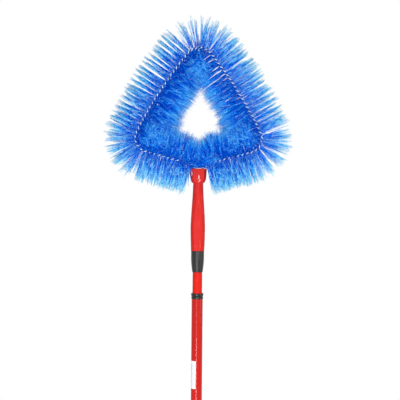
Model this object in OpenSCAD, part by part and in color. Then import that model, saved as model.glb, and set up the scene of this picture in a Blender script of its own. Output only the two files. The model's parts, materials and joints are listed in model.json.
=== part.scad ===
// Cobweb brush on a telescopic pole: a loop of two twisted wires holds the bristles,
// its ends sit in a plastic socket handle, and the handle screws on to the pole's tip.
// +Z runs up the pole. The origin is on the pole's axis at the lower tube's foot.

/* [Tubes] */
// Length of the lower tube
lower_tube_len = 700; // [400:10:1200]
// Outer diameter of the lower tube
lower_tube_d = 22; // [21.6:0.2:26]
// Outer diameter of the upper tube
upper_tube_d = 19; // [17:0.2:19.4]
// Wall of both tubes
tube_wall = 0.6; // [0.4:0.1:0.8]
// Height of the upper tube's foot over the lower tube's foot
upper_foot = 149; // [120:1:300]
// Bare length of the upper tube between the collar and the tip
upper_shown = 42; // [20:1:120]

/* [Guide collar] */
// Height of the collar over the lower tube
collar_h = 11; // [8:0.5:20]
// How far the upper ridge stands out from the tube
collar_rim = 1.2; // [0.8:0.1:3]
// Depth of the groove between the two ridges
groove_depth = 1.3; // [0.4:0.1:1.8]
// Length of the skirt inside the lower tube
skirt_len = 25; // [10:1:50]

/* [Hanging cap] */
// Length of the plug inside the lower tube
cap_plug_len = 24; // [10:1:40]
// Thickness of the cap's rim under the tube
cap_rim_h = 2; // [1:0.5:5]
// How far the cap's rim stays inside the tube's surface
cap_rim_in = 0.2; // [0.1:0.1:1]
// Width of the hanging tongue
tongue_w = 15; // [13:0.5:20]
// Thickness of the hanging tongue
tongue_t = 6; // [3:0.5:10]
// Distance from the rim to the middle of the hanging hole
hole_drop = 15; // [12:0.5:40]
// Diameter of the hanging hole
hanging_hole_d = 8; // [4:0.5:9]

/* [Label] */
// Height of the label
label_h = 55; // [20:1:90]
// Distance from the lower tube's mouth down to the label
label_drop = 123; // [50:1:250]
// Angle that the label wraps round the tube
label_wrap = 156; // [60:2:200]
// Angle from the front of the tube to the label's near edge
label_turn = 10; // [0:1:30]
// Thickness of the label
label_t = 0.12; // [0.1:0.01:0.3]

/* [Threaded tip] */
// Length of the tip's sleeve
tip_len = 42; // [36:0.5:70]
// Length of the upper tube inside the sleeve
tip_grip = 36; // [20:0.5:38]
// Wall of the sleeve at its lip
tip_lip = 0.9; // [0.6:0.1:1.5]
// Wall of the sleeve at its shoulder
tip_shoulder = 3.3; // [2:0.1:5]
// Height over which the sleeve swells out from its lip
tip_swell_h = 30; // [10:1:34]
// Length of the plug inside the upper tube
tip_plug_len = 22; // [8:0.5:30]
// Wall of the hollow spigot and plug
tip_core_wall = 3; // [2:0.1:4]
// Diameter of the spigot that the handle screws on to
spigot_d = 19.2; // [14:0.1:20]
// Length of the spigot
spigot_len = 35; // [20:0.5:50]

/* [Socket handle] */
// Length of the handle
handle_len = 161.5; // [140:0.5:260]
// How far the handle's foot stands out past the tip's shoulder
foot_rim = 0.3; // [0:0.1:1.5]
// Radius of the handle's widest part
swell_r = 14.25; // [13.6:0.05:20]
// Height of the widest part over the handle's foot
swell_at = 47; // [30:1:60]
// Radius of the neck under the cup
neck_r = 9.9; // [8.5:0.1:12]
// Height of the cup, from the neck to its top
cup_h = 30.8; // [29:0.2:45]
// Height over which the cup's underside curves out
cup_curve_h = 18; // [8:0.5:18]
// Radius of the cup at the end of that curve
cup_r = 16.1; // [15:0.1:20]
// Radius of the cup at its top
cup_top_r = 16.6; // [15:0.1:22]
// Distance between the cup's front and back flats
cup_depth = 23; // [16:0.5:28]
// Depth of the socket in the handle
socket_depth = 38; // [36:0.5:60]
// Wall round the cavity over the socket
handle_wall = 3.5; // [2:0.1:5]
// Depth of the two holes for the wire
wire_hole_depth = 22; // [12:0.5:23]

/* [Wire loop] */
// Radius of each wire
wire_r = 1.0; // [0.8:0.05:1.1]
// Distance from the pair's middle to each wire's middle
twist_r = 1.5; // [1.4:0.05:1.8]
// Length of one full turn of the twist
twist_pitch = 18.6; // [14:0.2:26]
// Distance between the two ends of the loop at the handle
loop_mouth = 17.2; // [14:0.2:19]
// Straight rise of each end over the handle
loop_rise = 1; // [0.5:0.5:10]
// Bend radius of each end over the handle
entry_r = 7.5; // [6:0.5:15]
// Slope of the loop's two lower sides
base_slope = 15.6; // [5:0.1:25]
// Bend radius of the two lower corners
corner_r = 27.2; // [20:0.1:40]
// Length of each long side
side_len = 183.4; // [150:0.1:220]
// Bend radius of the long sides, which bow outwards
side_bow_r = 786; // [500:1:3000]
// Slope of the long sides at their middle
side_slope = 57.2; // [50:0.1:65]
// Bend radius of the top corner
top_r = 28.4; // [20:0.1:40]

/* [Bristles] */
// Reach of the bristles from the middle of the wire pair
bristle_reach = 65; // [30:1:75]
// Strands in each full turn of the twist
strands_per_turn = 11; // [9:1:13]
// Bare wire between the end's bend and the first strand
bare_wire = 6; // [4:1:30]
// Width of a strand along the wire at its root
root_w = 0.8; // [0.5:0.05:1.2]
// Width of a strand along the wire at its tip
tip_w = 1.5; // [0.5:0.05:2]
// Thickness of a strand at its tip
tip_t = 1.1; // [0.3:0.05:1.4]
// Thickness of the packed roots between the two wires
core_t = 0.4; // [0.2:0.05:0.6]
// Width of the packed roots between the two wires
core_w = 1.3; // [0.8:0.05:1.8]

/* [Twist lock] */
// Diameter of the threaded spindle
spindle_d = 8; // [5:0.5:9]
// Height of the plug's flange under the upper tube
flange_h = 4; // [2:0.5:8]
// Length of the plug inside the upper tube
lock_plug_len = 24; // [10:1:50]
// Length of the expanding sleeve
sleeve_len = 33; // [24:0.5:40]
// Height of the sleeve's closed end
sleeve_end_h = 7; // [4:0.5:10]
// Radius of the sleeve's tapered mouth
sleeve_mouth_r = 8.6; // [8:0.1:9.2]
// Radius of the sleeve's taper at its closed end
sleeve_seat_r = 6; // [5.5:0.1:6.8]
// Width of the sleeve's slots
slot_w = 1.6; // [1.2:0.1:2.5]
// Length of the cone
cone_len = 24; // [16:0.5:25]
// How far the cone stands out of the sleeve when it is tight
cone_out = 5; // [3.5:0.5:10]
// How far the cone backs off when the pole is unlocked
cone_travel = 3; // [1:0.5:4]
// Radius of the washer under the cone
washer_r = 6; // [5:0.1:8]
// Thickness of the washer
washer_t = 1; // [0.5:0.1:2]
// Diameter of the screw's shank
screw_d = 3; // [2:0.1:3.5]
// Length of the screw's shank over the washer
screw_len = 12; // [8:0.5:20]
// Radius of the screw's head
screw_head_r = 3.4; // [3:0.1:4.5]
// Height of the screw's head
screw_head_h = 2.2; // [1.5:0.1:4]

/* [Clearances] */
// Gap round what is pressed in
press_gap = 0.05; // [0.02:0.01:0.1]
// Gap round the upper tube in its collar
slide_gap = 0.15; // [0.1:0.05:0.25]
// Gap round a wire pair in its hole and round the spindle
loose_gap = 0.2; // [0.15:0.05:0.3]
// Gap between faces that turn or part
face_gap = 0.3; // [0.2:0.1:0.5]
// Gap round the spigot in the socket, which its thread fills
thread_gap = 0.4; // [0.3:0.05:0.8]

/* [Hidden] */
NODES = [
    "lower_tube", "guide_collar", "hanging_cap", "pole_label",
    "upper_tube", "threaded_tip",
    "lock_plug", "lock_sleeve", "lock_cone", "lock_washer", "lock_screw",
    "socket_handle", "wire_strand_a", "wire_strand_b",
    "bristles_base_left_inner", "bristles_base_left_outer", "bristles_corner_left",
    "bristles_side_left_lower", "bristles_side_left_middle", "bristles_side_left_upper",
    "bristles_top",
    "bristles_side_right_upper", "bristles_side_right_middle", "bristles_side_right_lower",
    "bristles_corner_right", "bristles_base_right_outer", "bristles_base_right_inner"
];
first_bristles = 14;
$fn = 64;

// Heights of the pieces along the pole
lower_r = lower_tube_d / 2;
lower_bore_r = lower_r - tube_wall;
upper_r = upper_tube_d / 2;
upper_bore_r = upper_r - tube_wall;
collar_top = lower_tube_len + collar_h;
tip_z = collar_top + upper_shown;
upper_tube_len = tip_z + tip_grip - upper_foot;
handle_z = tip_z + tip_len + face_gap;
handle_top = handle_z + handle_len;
spindle_r = spindle_d / 2;
sleeve_top = upper_foot - flange_h - face_gap;
sleeve_foot = sleeve_top - sleeve_len;
cone_foot = sleeve_foot - cone_out;
spindle_foot = cone_foot - cone_travel - face_gap;
over = 1;

// Stretches of the wire's middle line from the left end to the right, as [length, turn]
side_turn = side_len / side_bow_r * 180 / PI;
top_half_turn = side_slope - side_turn / 2;
corner_turn = 180 - base_slope - side_slope - side_turn / 2;
entry_turn = 90 - base_slope;
end_len = wire_hole_depth - face_gap + loop_rise;
half_width = top_r * sin(top_half_turn)
    + side_bow_r * (sin(side_slope + side_turn / 2) - sin(top_half_turn))
    + corner_r * (sin(base_slope) - sin(side_slope + side_turn / 2));
base_len = (half_width - entry_r * (1 - sin(base_slope)) - loop_mouth / 2) / cos(base_slope);
function arc_len(r, turn) = r * turn * PI / 180;
left_half = [
    [end_len, 0],
    [arc_len(entry_r, entry_turn), entry_turn],
    [base_len, 0],
    [arc_len(corner_r, corner_turn), -corner_turn],
    [side_len, -side_turn]
];
stretches = concat(
    left_half,
    [[arc_len(top_r, 2 * top_half_turn), -2 * top_half_turn]],
    [for (i = [len(left_half) - 1 : -1 : 0]) left_half[i]]
);
function total(lengths, i = 0) = i < len(lengths) ? lengths[i] + total(lengths, i + 1) : 0;
stretch_lens = [for (stretch = stretches) stretch[0]];
wire_len = total(stretch_lens);
ways = [for (i = [0 : len(stretches)]) wire_len - total(stretch_lens, i)];

// A point's place and heading after going some way along a stretch: [x, z, heading]
function go(from, stretch, way) =
    let (turn = stretch[1] * way / stretch[0], r = arc_radius(stretch), h = from[2])
    stretch[1] == 0
    ? [from[0] + way * cos(h), from[1] + way * sin(h), h]
    : [from[0] + r * (sin(h + turn) - sin(h)), from[1] - r * (cos(h + turn) - cos(h)), h + turn];
function arc_radius(stretch) = stretch[1] == 0 ? 0 : stretch[0] / (stretch[1] * PI / 180);
loop_start = [-loop_mouth / 2, handle_top - wire_hole_depth + face_gap, 90];
starts = [
    for (i = 0, at = loop_start; i < len(stretches); at = go(at, stretches[i], stretch_lens[i]), i = i + 1) at
];
function stretch_at(s, i = 0) = i >= len(stretches) - 1 || s < ways[i + 1] ? i : stretch_at(s, i + 1);
function along(s) = let (i = stretch_at(s)) go(starts[i], stretches[i], s - ways[i]);

// Directions at a place on the wire: outwards from the loop, and any turn from there to the back
function outwards(at) = [-sin(at[2]), 0, cos(at[2])];
function forwards(at) = [cos(at[2]), 0, sin(at[2])];
function spoke(at, turn) = cos(turn) * outwards(at) + sin(turn) * [0, 1, 0];
function middle(at) = [at[0], 0, at[1]];
function twist(s) = 360 * s / twist_pitch;

// The twisted pair: each wire is one tube with eight rings a turn and six sides
wire_rings = round(wire_len / twist_pitch * 8);
wire_sides = 6;
function wire_point(s, side) = let (at = along(s)) middle(at) + twist_r * spoke(at, twist(s) + side);
function unit(v) = v / norm(v);
function wire_ring(s, side) =
    let (
        ahead = unit(wire_point(s + 0.05, side) - wire_point(s - 0.05, side)),
        out = spoke(along(s), twist(s) + side),
        across = unit(out - (out * ahead) * ahead),
        up = cross(ahead, across)
    )
    [for (k = [0 : wire_sides - 1])
        let (a = (k + 0.5) * 360 / wire_sides)
        wire_point(s, side) + wire_r * (cos(a) * across + sin(a) * up)];

// Strands stand in pairs at even steps along the bristled length
bristle_start = end_len + arc_len(entry_r, entry_turn) + bare_wire;
bristled_len = wire_len - 2 * bristle_start;
pair_count = round(bristled_len / twist_pitch * strands_per_turn / 2);
pair_step = bristled_len / pair_count;
sections_per_base = 2;
sections_per_side = 3;
base_part = base_len - bare_wire;
corner_part = arc_len(corner_r, corner_turn);
top_part = arc_len(top_r, 2 * top_half_turn);
half_parts = concat(
    [for (i = [1 : sections_per_base]) base_part / sections_per_base],
    [corner_part],
    [for (i = [1 : sections_per_side]) side_len / sections_per_side]
);
section_lens = concat(
    half_parts, [top_part], [for (i = [len(half_parts) - 1 : -1 : 0]) half_parts[i]]
);
function first_pair(section) =
    round((bristled_len - total(section_lens, section)) / pair_step);

// A strand stops short of the planes that halve the loop's corners, so that none cross
short_of = 0.93;
corner_turned = go(starts[3], stretches[3], stretch_lens[3] / 2);
left_hub = middle(corner_turned) - corner_r * outwards(corner_turned);
function halving(at) =
    let (side = at[0] < 0 ? 1 : -1, f = forwards(corner_turned))
    [
        [[0, 0, 0], [1, 0, 0]],
        [[side * left_hub[0], 0, left_hub[2]], [side * f[0], 0, f[2]]]
    ];
function way_to(start, dir, plane) =
    let (closing = dir * plane[1], away = (plane[0] - start) * plane[1])
    closing * away > 0.0001 ? short_of * away / closing : bristle_reach;
function way_to_hub(s, turn) =
    let (r = arc_radius(stretches[stretch_at(s)]), c = -cos(turn))
    r < 0 && c > 0.01 ? -short_of * r / c : bristle_reach;
function reach(s, turn) =
    let (at = along(s), dir = spoke(at, turn))
    min(
        bristle_reach,
        way_to_hub(s, turn),
        min([for (plane = halving(at)) way_to(middle(at), dir, plane)])
    );

// Four corners of the packed roots at one place, on the helix that the wires leave free
function core_ring(s) =
    let (at = along(s), wide = spoke(at, twist(s) + 90), thin = spoke(at, twist(s)))
    [for (c = [[1, 1], [1, -1], [-1, -1], [-1, 1]])
        middle(at) + c[0] * core_w / 2 * wide + c[1] * core_t / 2 * thin];
function strand_tip(s, side) =
    let (
        at = along(s),
        turn = twist(s) + 90 * side,
        end = middle(at) + reach(s, turn) * spoke(at, turn),
        thin = spoke(at, twist(s)) * side
    )
    [for (c = [[-1, 1], [-1, -1], [1, -1], [1, 1]])
        end + c[0] * tip_w / 2 * forwards(at) + c[1] * tip_t / 2 * thin];

function lerp(a, b, u) = a + (b - a) * u;

// Thin-walled tube standing on height z
module pipe(z, len, r, bore_r) {
    translate([0, 0, z]) difference() {
        cylinder(h = len, r = r);
        translate([0, 0, -over]) cylinder(h = len + 2 * over, r = bore_r);
    }
}

module lower_tube() {
    color("crimson") pipe(0, lower_tube_len, lower_r, lower_bore_r);
}

module upper_tube() {
    color("red") pipe(upper_foot, upper_tube_len, upper_r, upper_bore_r);
}

// Two ridges with a groove between them, over a skirt pressed into the lower tube
module guide_collar() {
    bore = upper_r + slide_gap;
    low_r = lower_r + 2 / 3 * collar_rim;
    high_r = lower_r + collar_rim;
    edge = collar_h / 12;
    color("dimgray") translate([0, 0, lower_tube_len]) rotate_extrude() polygon([
        [bore, -skirt_len],
        [lower_bore_r - press_gap, -skirt_len],
        [lower_bore_r - press_gap, 0],
        [low_r - edge / 2, 0],
        [low_r, edge],
        [low_r, 3.5 * edge],
        [high_r - groove_depth, 5.3 * edge],
        [high_r, 7 * edge],
        [high_r, 11 * edge],
        [high_r - edge / 2, 12 * edge],
        [bore, 12 * edge]
    ]);
}

// Plug, rim and a flat tongue with the hanging hole
module hanging_cap() {
    tongue_z = -cap_rim_h - hole_drop;
    color("black") difference() {
        union() {
            translate([0, 0, -over]) cylinder(h = cap_plug_len + over, r = lower_bore_r - press_gap);
            translate([0, 0, -cap_rim_h]) cylinder(h = cap_rim_h, r = lower_r - cap_rim_in);
            rotate([90, 0, 0]) translate([0, 0, -tongue_t / 2]) linear_extrude(tongue_t) union() {
                translate([0, tongue_z]) circle(d = tongue_w);
                translate([-tongue_w / 2, tongue_z]) square([tongue_w, hole_drop + cap_rim_h / 2]);
            }
        }
        translate([0, 0, tongue_z]) rotate([90, 0, 0])
            cylinder(h = tongue_t + 2 * over, d = hanging_hole_d, center = true);
        translate([0, 0, cap_rim_h]) cylinder(h = cap_plug_len, r = lower_bore_r - tip_core_wall);
    }
}

module pole_label() {
    r = lower_r + label_t / 6;
    color("white") translate([0, 0, lower_tube_len - label_drop - label_h])
        rotate([0, 0, -90 - label_turn - label_wrap]) rotate_extrude(angle = label_wrap)
            translate([r, 0]) square([label_t, label_h]);
}

// Sleeve over the upper tube, plug inside it and the hollow spigot that takes the handle
module threaded_tip() {
    pocket_r = upper_r + press_gap;
    plug_r = upper_bore_r - press_gap;
    core_r = plug_r - tip_core_wall;
    steps = 10;
    spigot_r = spigot_d / 2;
    edge = 1.2;
    color("dimgray") translate([0, 0, tip_z]) rotate_extrude() polygon(concat(
        [[pocket_r, 0]],
        [for (i = [0 : steps])
            [upper_r + lerp(tip_lip, tip_shoulder, sin(90 * i / steps)), tip_swell_h * i / steps]],
        [
            [upper_r + tip_shoulder, tip_len],
            [spigot_r, tip_len],
            [spigot_r, tip_len + spigot_len - edge],
            [spigot_r - edge, tip_len + spigot_len],
            [core_r, tip_len + spigot_len],
            [core_r, tip_grip - tip_plug_len],
            [plug_r, tip_grip - tip_plug_len],
            [plug_r, tip_grip],
            [pocket_r, tip_grip]
        ]
    ));
}

// Outline of the handle: swelling foot, slim neck and the cup's round underside
function handle_r(u) = u - sin(360 * u) / (6 * PI);
module handle_body() {
    foot_r = upper_r + tip_shoulder + foot_rim;
    neck_z = handle_len - cup_h;
    curve_z = neck_z + 2;
    steps = 12;
    polygon(concat(
        [[0, 0]],
        [for (i = [0 : steps]) [lerp(foot_r, swell_r, sin(90 * i / steps)), swell_at * i / steps]],
        [for (i = [1 : steps])
            [lerp(swell_r, neck_r, handle_r(i / steps)), lerp(swell_at, neck_z, i / steps)]],
        [for (i = [0 : steps])
            [lerp(neck_r, cup_r, sin(90 * i / steps)), curve_z + cup_curve_h * (1 - cos(90 * i / steps))]],
        [[cup_top_r, handle_len - 0.8], [cup_top_r - 0.8, handle_len], [0, handle_len]]
    ));
}

module socket_handle() {
    spigot_r = spigot_d / 2 + thread_gap;
    cavity_foot_r = spigot_r - 1.5;
    cavity_top = handle_len - cup_h - over;
    hole_r = twist_r + wire_r + loose_gap;
    color("red") translate([0, 0, handle_z]) difference() {
        rotate_extrude() handle_body();
        translate([0, 0, -over]) cylinder(h = socket_depth + over, r = spigot_r);
        translate([0, 0, socket_depth - over])
            cylinder(h = cavity_top - socket_depth + over, r1 = cavity_foot_r, r2 = neck_r - handle_wall);
        for (side = [-1, 1]) {
            translate([side * loop_mouth / 2, 0, handle_len - wire_hole_depth])
                cylinder(h = wire_hole_depth + over, r = hole_r);
            translate([-cup_top_r - over, side * (cup_depth + cup_top_r) / 2 - cup_top_r / 2, handle_len - cup_h])
                cube([2 * (cup_top_r + over), cup_top_r, cup_h + over]);
        }
    }
}

module wire_strand(side) {
    rings = [for (i = [0 : wire_rings]) wire_ring(wire_len * i / wire_rings, side)];
    last = wire_rings * wire_sides;
    color("silver") polyhedron(
        points = [for (ring = rings) each ring],
        faces = concat(
            [for (i = [0 : wire_rings - 1], k = [0 : wire_sides - 1])
                let (a = i * wire_sides + k, b = i * wire_sides + (k + 1) % wire_sides)
                each [[a, a + wire_sides, b], [b, a + wire_sides, b + wire_sides]]],
            [for (k = [1 : wire_sides - 2]) [0, k, k + 1]],
            [for (k = [1 : wire_sides - 2]) [last, last + k + 1, last + k]]
        )
    );
}

// One section of the bristles: the packed roots, and a pair of strands at each step
module bristles(section) {
    pairs = [first_pair(section) : first_pair(section + 1) - 1];
    count = len([for (p = pairs) p]);
    start = bristle_start + first_pair(section) * pair_step;
    end = bristle_start + first_pair(section + 1) * pair_step;
    places = [for (p = pairs) bristle_start + (p + 0.5) * pair_step];
    cuts = concat(
        [start + face_gap / 2],
        [for (s = places) each [s - root_w / 2, s + root_w / 2]],
        [end - face_gap / 2]
    );
    tips = [for (s = places) each [strand_tip(s, 1), strand_tip(s, -1)]];
    first_tip = len(cuts) * 4;
    last = (len(cuts) - 1) * 4;
    // Where ring i and the next leave the root of a strand open, the strand's sides close it
    function rooted(i, k) = i % 2 == 1 && k % 2 == 0;
    function tip_at(i, k) = first_tip + ((i - 1) + k / 2) * 4;
    function quad(a, b, c, d) = [[a, c, b], [a, d, c]];
    color("royalblue") polyhedron(
        points = concat([for (s = cuts) each core_ring(s)], [for (t = tips) each t]),
        faces = concat(
            [for (i = [0 : len(cuts) - 2], k = [0 : 3])
                let (a = i * 4 + k, b = i * 4 + (k + 1) % 4)
                if (!rooted(i, k)) each quad(a, a + 4, b + 4, b)],
            [for (i = [1 : 2 : 2 * count - 1], k = [0, 2])
                let (r = [i * 4 + k, i * 4 + k + 1, i * 4 + 5 + k, i * 4 + 4 + k], t = tip_at(i, k))
                each concat(
                    [for (j = [0 : 3]) each quad(r[j], t + j, t + (j + 1) % 4, r[(j + 1) % 4])],
                    quad(t, t + 3, t + 2, t + 1)
                )],
            quad(0, 1, 2, 3),
            quad(last, last + 3, last + 2, last + 1)
        )
    );
}

// Plug in the upper tube's foot, its flange and the spindle that works the lock
module lock_plug() {
    color("dimgray") difference() {
        union() {
            translate([0, 0, upper_foot - over])
                cylinder(h = lock_plug_len + over, r = upper_bore_r - press_gap);
            translate([0, 0, upper_foot - flange_h]) cylinder(h = flange_h, r = lower_bore_r - face_gap);
            translate([0, 0, spindle_foot]) cylinder(h = upper_foot - spindle_foot, r = spindle_r);
        }
        translate([0, 0, spindle_foot - over]) cylinder(h = screw_len + 2 * over, d = screw_d + 2 * press_gap);
    }
}

function seat_r(h) = lerp(sleeve_mouth_r, sleeve_seat_r, h / (sleeve_len - sleeve_end_h));

// Slotted sleeve that the cone spreads against the lower tube
module lock_sleeve() {
    out_r = lower_bore_r - loose_gap;
    taper_h = sleeve_len - sleeve_end_h;
    color("dimgray") translate([0, 0, sleeve_foot]) difference() {
        cylinder(h = sleeve_len, r = out_r);
        translate([0, 0, -over]) cylinder(h = taper_h + over, r1 = seat_r(-over), r2 = sleeve_seat_r);
        translate([0, 0, -over]) cylinder(h = sleeve_len + 2 * over, r = spindle_r + loose_gap);
        for (turn = [0, 90]) rotate([0, 0, turn])
            translate([-out_r - over, -slot_w / 2, -over]) cube([2 * (out_r + over), slot_w, taper_h - over]);
    }
}

// Cone that the spindle draws into the sleeve, with a key that runs in a slot
module lock_cone() {
    key_t = slot_w - 2 * loose_gap;
    key_r = sleeve_mouth_r + face_gap;
    r_at_foot = sleeve_mouth_r - face_gap;
    color("gray") translate([0, 0, cone_foot]) difference() {
        union() {
            cylinder(h = cone_out, r = r_at_foot);
            translate([0, 0, cone_out])
                cylinder(h = cone_len - cone_out, r1 = r_at_foot, r2 = seat_r(cone_len - cone_out) - face_gap);
            translate([0, -key_t / 2, 0]) cube([key_r, key_t, cone_len / 2]);
        }
        translate([0, 0, -over]) cylinder(h = cone_len + 2 * over, r = spindle_r + loose_gap);
    }
}

module lock_washer() {
    color("silver") pipe(spindle_foot - washer_t, washer_t, washer_r, screw_d / 2 + loose_gap);
}

module lock_screw() {
    head_z = spindle_foot - washer_t - screw_head_h;
    color("silver") union() {
        translate([0, 0, spindle_foot - washer_t - screw_head_h / 2])
            cylinder(h = screw_len + washer_t + screw_head_h / 2, d = screw_d);
        translate([0, 0, head_z]) cylinder(h = screw_head_h, r1 = 0.7 * screw_head_r, r2 = screw_head_r);
    }
}

lower_tube();
guide_collar();
hanging_cap();
pole_label();
upper_tube();
threaded_tip();
lock_plug();
lock_sleeve();
lock_cone();
lock_washer();
lock_screw();
socket_handle();
wire_strand(0);  // wire_strand_a
wire_strand(180);  // wire_strand_b
for (i = [first_bristles : len(NODES) - 1])
    bristles(i - first_bristles);
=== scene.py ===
import json
import math
from collections import namedtuple

import bpy
import numpy as np
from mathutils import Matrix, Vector

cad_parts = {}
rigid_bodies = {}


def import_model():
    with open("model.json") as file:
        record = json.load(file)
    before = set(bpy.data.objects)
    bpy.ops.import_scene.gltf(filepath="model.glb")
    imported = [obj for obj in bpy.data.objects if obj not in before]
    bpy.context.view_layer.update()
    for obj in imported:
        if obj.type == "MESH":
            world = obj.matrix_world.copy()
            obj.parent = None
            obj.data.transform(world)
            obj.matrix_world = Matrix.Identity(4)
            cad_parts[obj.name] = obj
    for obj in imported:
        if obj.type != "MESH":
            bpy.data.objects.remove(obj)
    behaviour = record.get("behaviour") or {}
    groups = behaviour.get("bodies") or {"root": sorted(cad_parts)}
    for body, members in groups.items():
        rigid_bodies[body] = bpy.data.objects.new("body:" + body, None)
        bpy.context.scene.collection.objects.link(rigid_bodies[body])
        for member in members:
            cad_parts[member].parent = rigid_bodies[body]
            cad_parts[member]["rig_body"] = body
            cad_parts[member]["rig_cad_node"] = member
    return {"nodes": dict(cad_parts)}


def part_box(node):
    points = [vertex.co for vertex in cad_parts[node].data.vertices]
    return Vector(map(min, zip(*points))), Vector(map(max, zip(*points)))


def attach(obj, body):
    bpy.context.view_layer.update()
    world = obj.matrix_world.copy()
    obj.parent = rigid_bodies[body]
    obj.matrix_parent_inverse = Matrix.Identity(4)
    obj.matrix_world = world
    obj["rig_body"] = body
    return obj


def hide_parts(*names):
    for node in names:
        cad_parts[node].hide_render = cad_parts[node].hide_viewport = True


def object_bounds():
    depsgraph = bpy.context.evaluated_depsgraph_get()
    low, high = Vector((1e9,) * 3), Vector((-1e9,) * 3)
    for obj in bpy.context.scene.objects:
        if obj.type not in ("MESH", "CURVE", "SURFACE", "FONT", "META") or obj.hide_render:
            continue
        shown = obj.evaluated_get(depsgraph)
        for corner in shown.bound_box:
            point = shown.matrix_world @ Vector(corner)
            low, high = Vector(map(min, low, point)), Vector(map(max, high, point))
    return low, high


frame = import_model()
cad_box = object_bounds()
MM = 0.001


# Lower tube: 22 mm steel tube, rolled from strip and welded along its back, then baked
# in gloss red paint. It is the outer half of the telescopic pole.
coat_roughness = 0.05


def finish(name, roughness, specular, coat=0.0, metallic=0.0):
    """A material whose shader has its even values set."""
    material = bpy.data.materials.new(name)
    material.use_nodes = True
    inputs = material.node_tree.nodes["Principled BSDF"].inputs
    inputs["Roughness"].default_value = roughness
    inputs["Specular IOR Level"].default_value = specular
    inputs["Coat Weight"].default_value = coat
    inputs["Coat Roughness"].default_value = coat_roughness
    inputs["Metallic"].default_value = metallic
    return material


def add(owner, kind, **settings):
    """A node of a material or of the world, with its own settings."""
    node = owner.node_tree.nodes.new(kind)
    for name, value in settings.items():
        setattr(node, name, value)
    return node


def feed(owner, socket, value):
    """Gives a socket a plain value, a colour or another node's output."""
    if isinstance(value, bpy.types.NodeSocket):
        owner.node_tree.links.new(value, socket)
    elif socket.type == "RGBA" and len(value) == 3:
        socket.default_value = (*value, 1.0)
    else:
        socket.default_value = value


def shade(material, socket, value):
    """Feeds one of the shader's own sockets."""
    feed(material, material.node_tree.nodes["Principled BSDF"].inputs[socket], value)


def sums(owner, operation, first, second=0.0):
    """One step of arithmetic on sockets or numbers."""
    node = add(owner, "ShaderNodeMath", operation=operation)
    feed(owner, node.inputs[0], first)
    feed(owner, node.inputs[1], second)
    return node.outputs[0]


def mapped(owner, value, low, high, first=0.0, last=1.0):
    """A value's range from low to high, spread from first to last."""
    node = add(owner, "ShaderNodeMapRange")
    for place, number in enumerate((value, low, high, first, last)):
        feed(owner, node.inputs[place], number)
    return node.outputs[0]


def mixed(material, share, first, second):
    """A colour between two colours."""
    node = add(material, "ShaderNodeMix", data_type="RGBA")
    share_in, first_in, second_in, colour_out = 0, 6, 7, 2
    feed(material, node.inputs[share_in], share)
    feed(material, node.inputs[first_in], first)
    feed(material, node.inputs[second_in], second)
    return node.outputs[colour_out]


def grain(material, size, stretch=(1.0, 1.0, 1.0), detail=3.0):
    """Noise with grains of a size in metres. A stretch below 1 draws them out on that axis."""
    place = add(material, "ShaderNodeTexCoord")
    mapping = add(material, "ShaderNodeMapping")
    feed(material, mapping.inputs["Vector"], place.outputs["Object"])
    feed(material, mapping.inputs["Scale"], stretch)
    noise = add(material, "ShaderNodeTexNoise")
    feed(material, noise.inputs["Vector"], mapping.outputs["Vector"])
    feed(material, noise.inputs["Scale"], 1.0 / size)
    feed(material, noise.inputs["Detail"], detail)
    return noise.outputs["Fac"]


def places(material):
    """The X, Y and Z sockets of the piece's own coordinates."""
    place = add(material, "ShaderNodeTexCoord")
    split = add(material, "ShaderNodeSeparateXYZ")
    feed(material, split.inputs[0], place.outputs["Object"])
    return list(split.outputs)


def raise_up(material, height, depth):
    """Turns a height from 0 to 1 into a relief of a depth in metres."""
    bump = add(material, "ShaderNodeBump")
    feed(material, bump.inputs["Height"], height)
    feed(material, bump.inputs["Distance"], depth)
    shade(material, "Normal", bump.outputs["Normal"])


def tube_paint(name, deep, bright, gloss, coat):
    """Baked paint: long faint drawing marks, orange peel and a weld line at the back."""
    paint = finish(name, gloss, 0.05, coat=coat)
    drawn = mapped(paint, grain(paint, 4 * MM, (1.0, 1.0, 0.04)), 0.35, 0.65)
    cloudy = mapped(paint, grain(paint, 30 * MM, (1.0, 1.0, 0.5)), 0.35, 0.65)
    tone = mixed(paint, sums(paint, "MULTIPLY", drawn, cloudy), deep, bright)
    scuffs = mapped(paint, grain(paint, 1.6 * MM, (1.0, 1.0, 0.06), 6.0), 0.70, 0.80, 0.0, 0.25)
    scuff_tone = (0.86, 0.20, 0.14)
    shade(paint, "Base Color", mixed(paint, scuffs, tone, scuff_tone))
    shade(paint, "Roughness", mapped(paint, drawn, 0.0, 1.0, gloss, gloss + 0.08))
    x, y = places(paint)[:2]
    weld = mapped(paint, sums(paint, "ABSOLUTE", x), 0.5 * MM, 0.2 * MM)
    weld = sums(paint, "MULTIPLY", weld, sums(paint, "GREATER_THAN", y, 0.0))
    peel = sums(paint, "MULTIPLY", grain(paint, 1.2 * MM), 0.5)
    raise_up(paint, sums(paint, "ADD", peel, weld), 0.02 * MM)
    return paint


def wear(node_name, material):
    """Gives a CAD node its finish."""
    node = frame["nodes"][node_name]
    node.data.materials.clear()
    node.data.materials.append(material)


# The lower tube's red is a darker copy of the upper tube's paint: painted shade for the light that falls
# off down the pole.
painted_shade_lower_red = (0.48, 0.006, 0.002)
painted_shade_lower_bright_red = (0.56, 0.009, 0.003)
wear("lower_tube", tube_paint("lower_tube_paint", painted_shade_lower_red, painted_shade_lower_bright_red, 0.35, 0.36))


# Label: white paper sticker wrapped round the left of the lower tube. It is blank apart
# from a pale panel with plain ruled lines that run along the pole.
label_low, label_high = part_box("pole_label")


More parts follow.
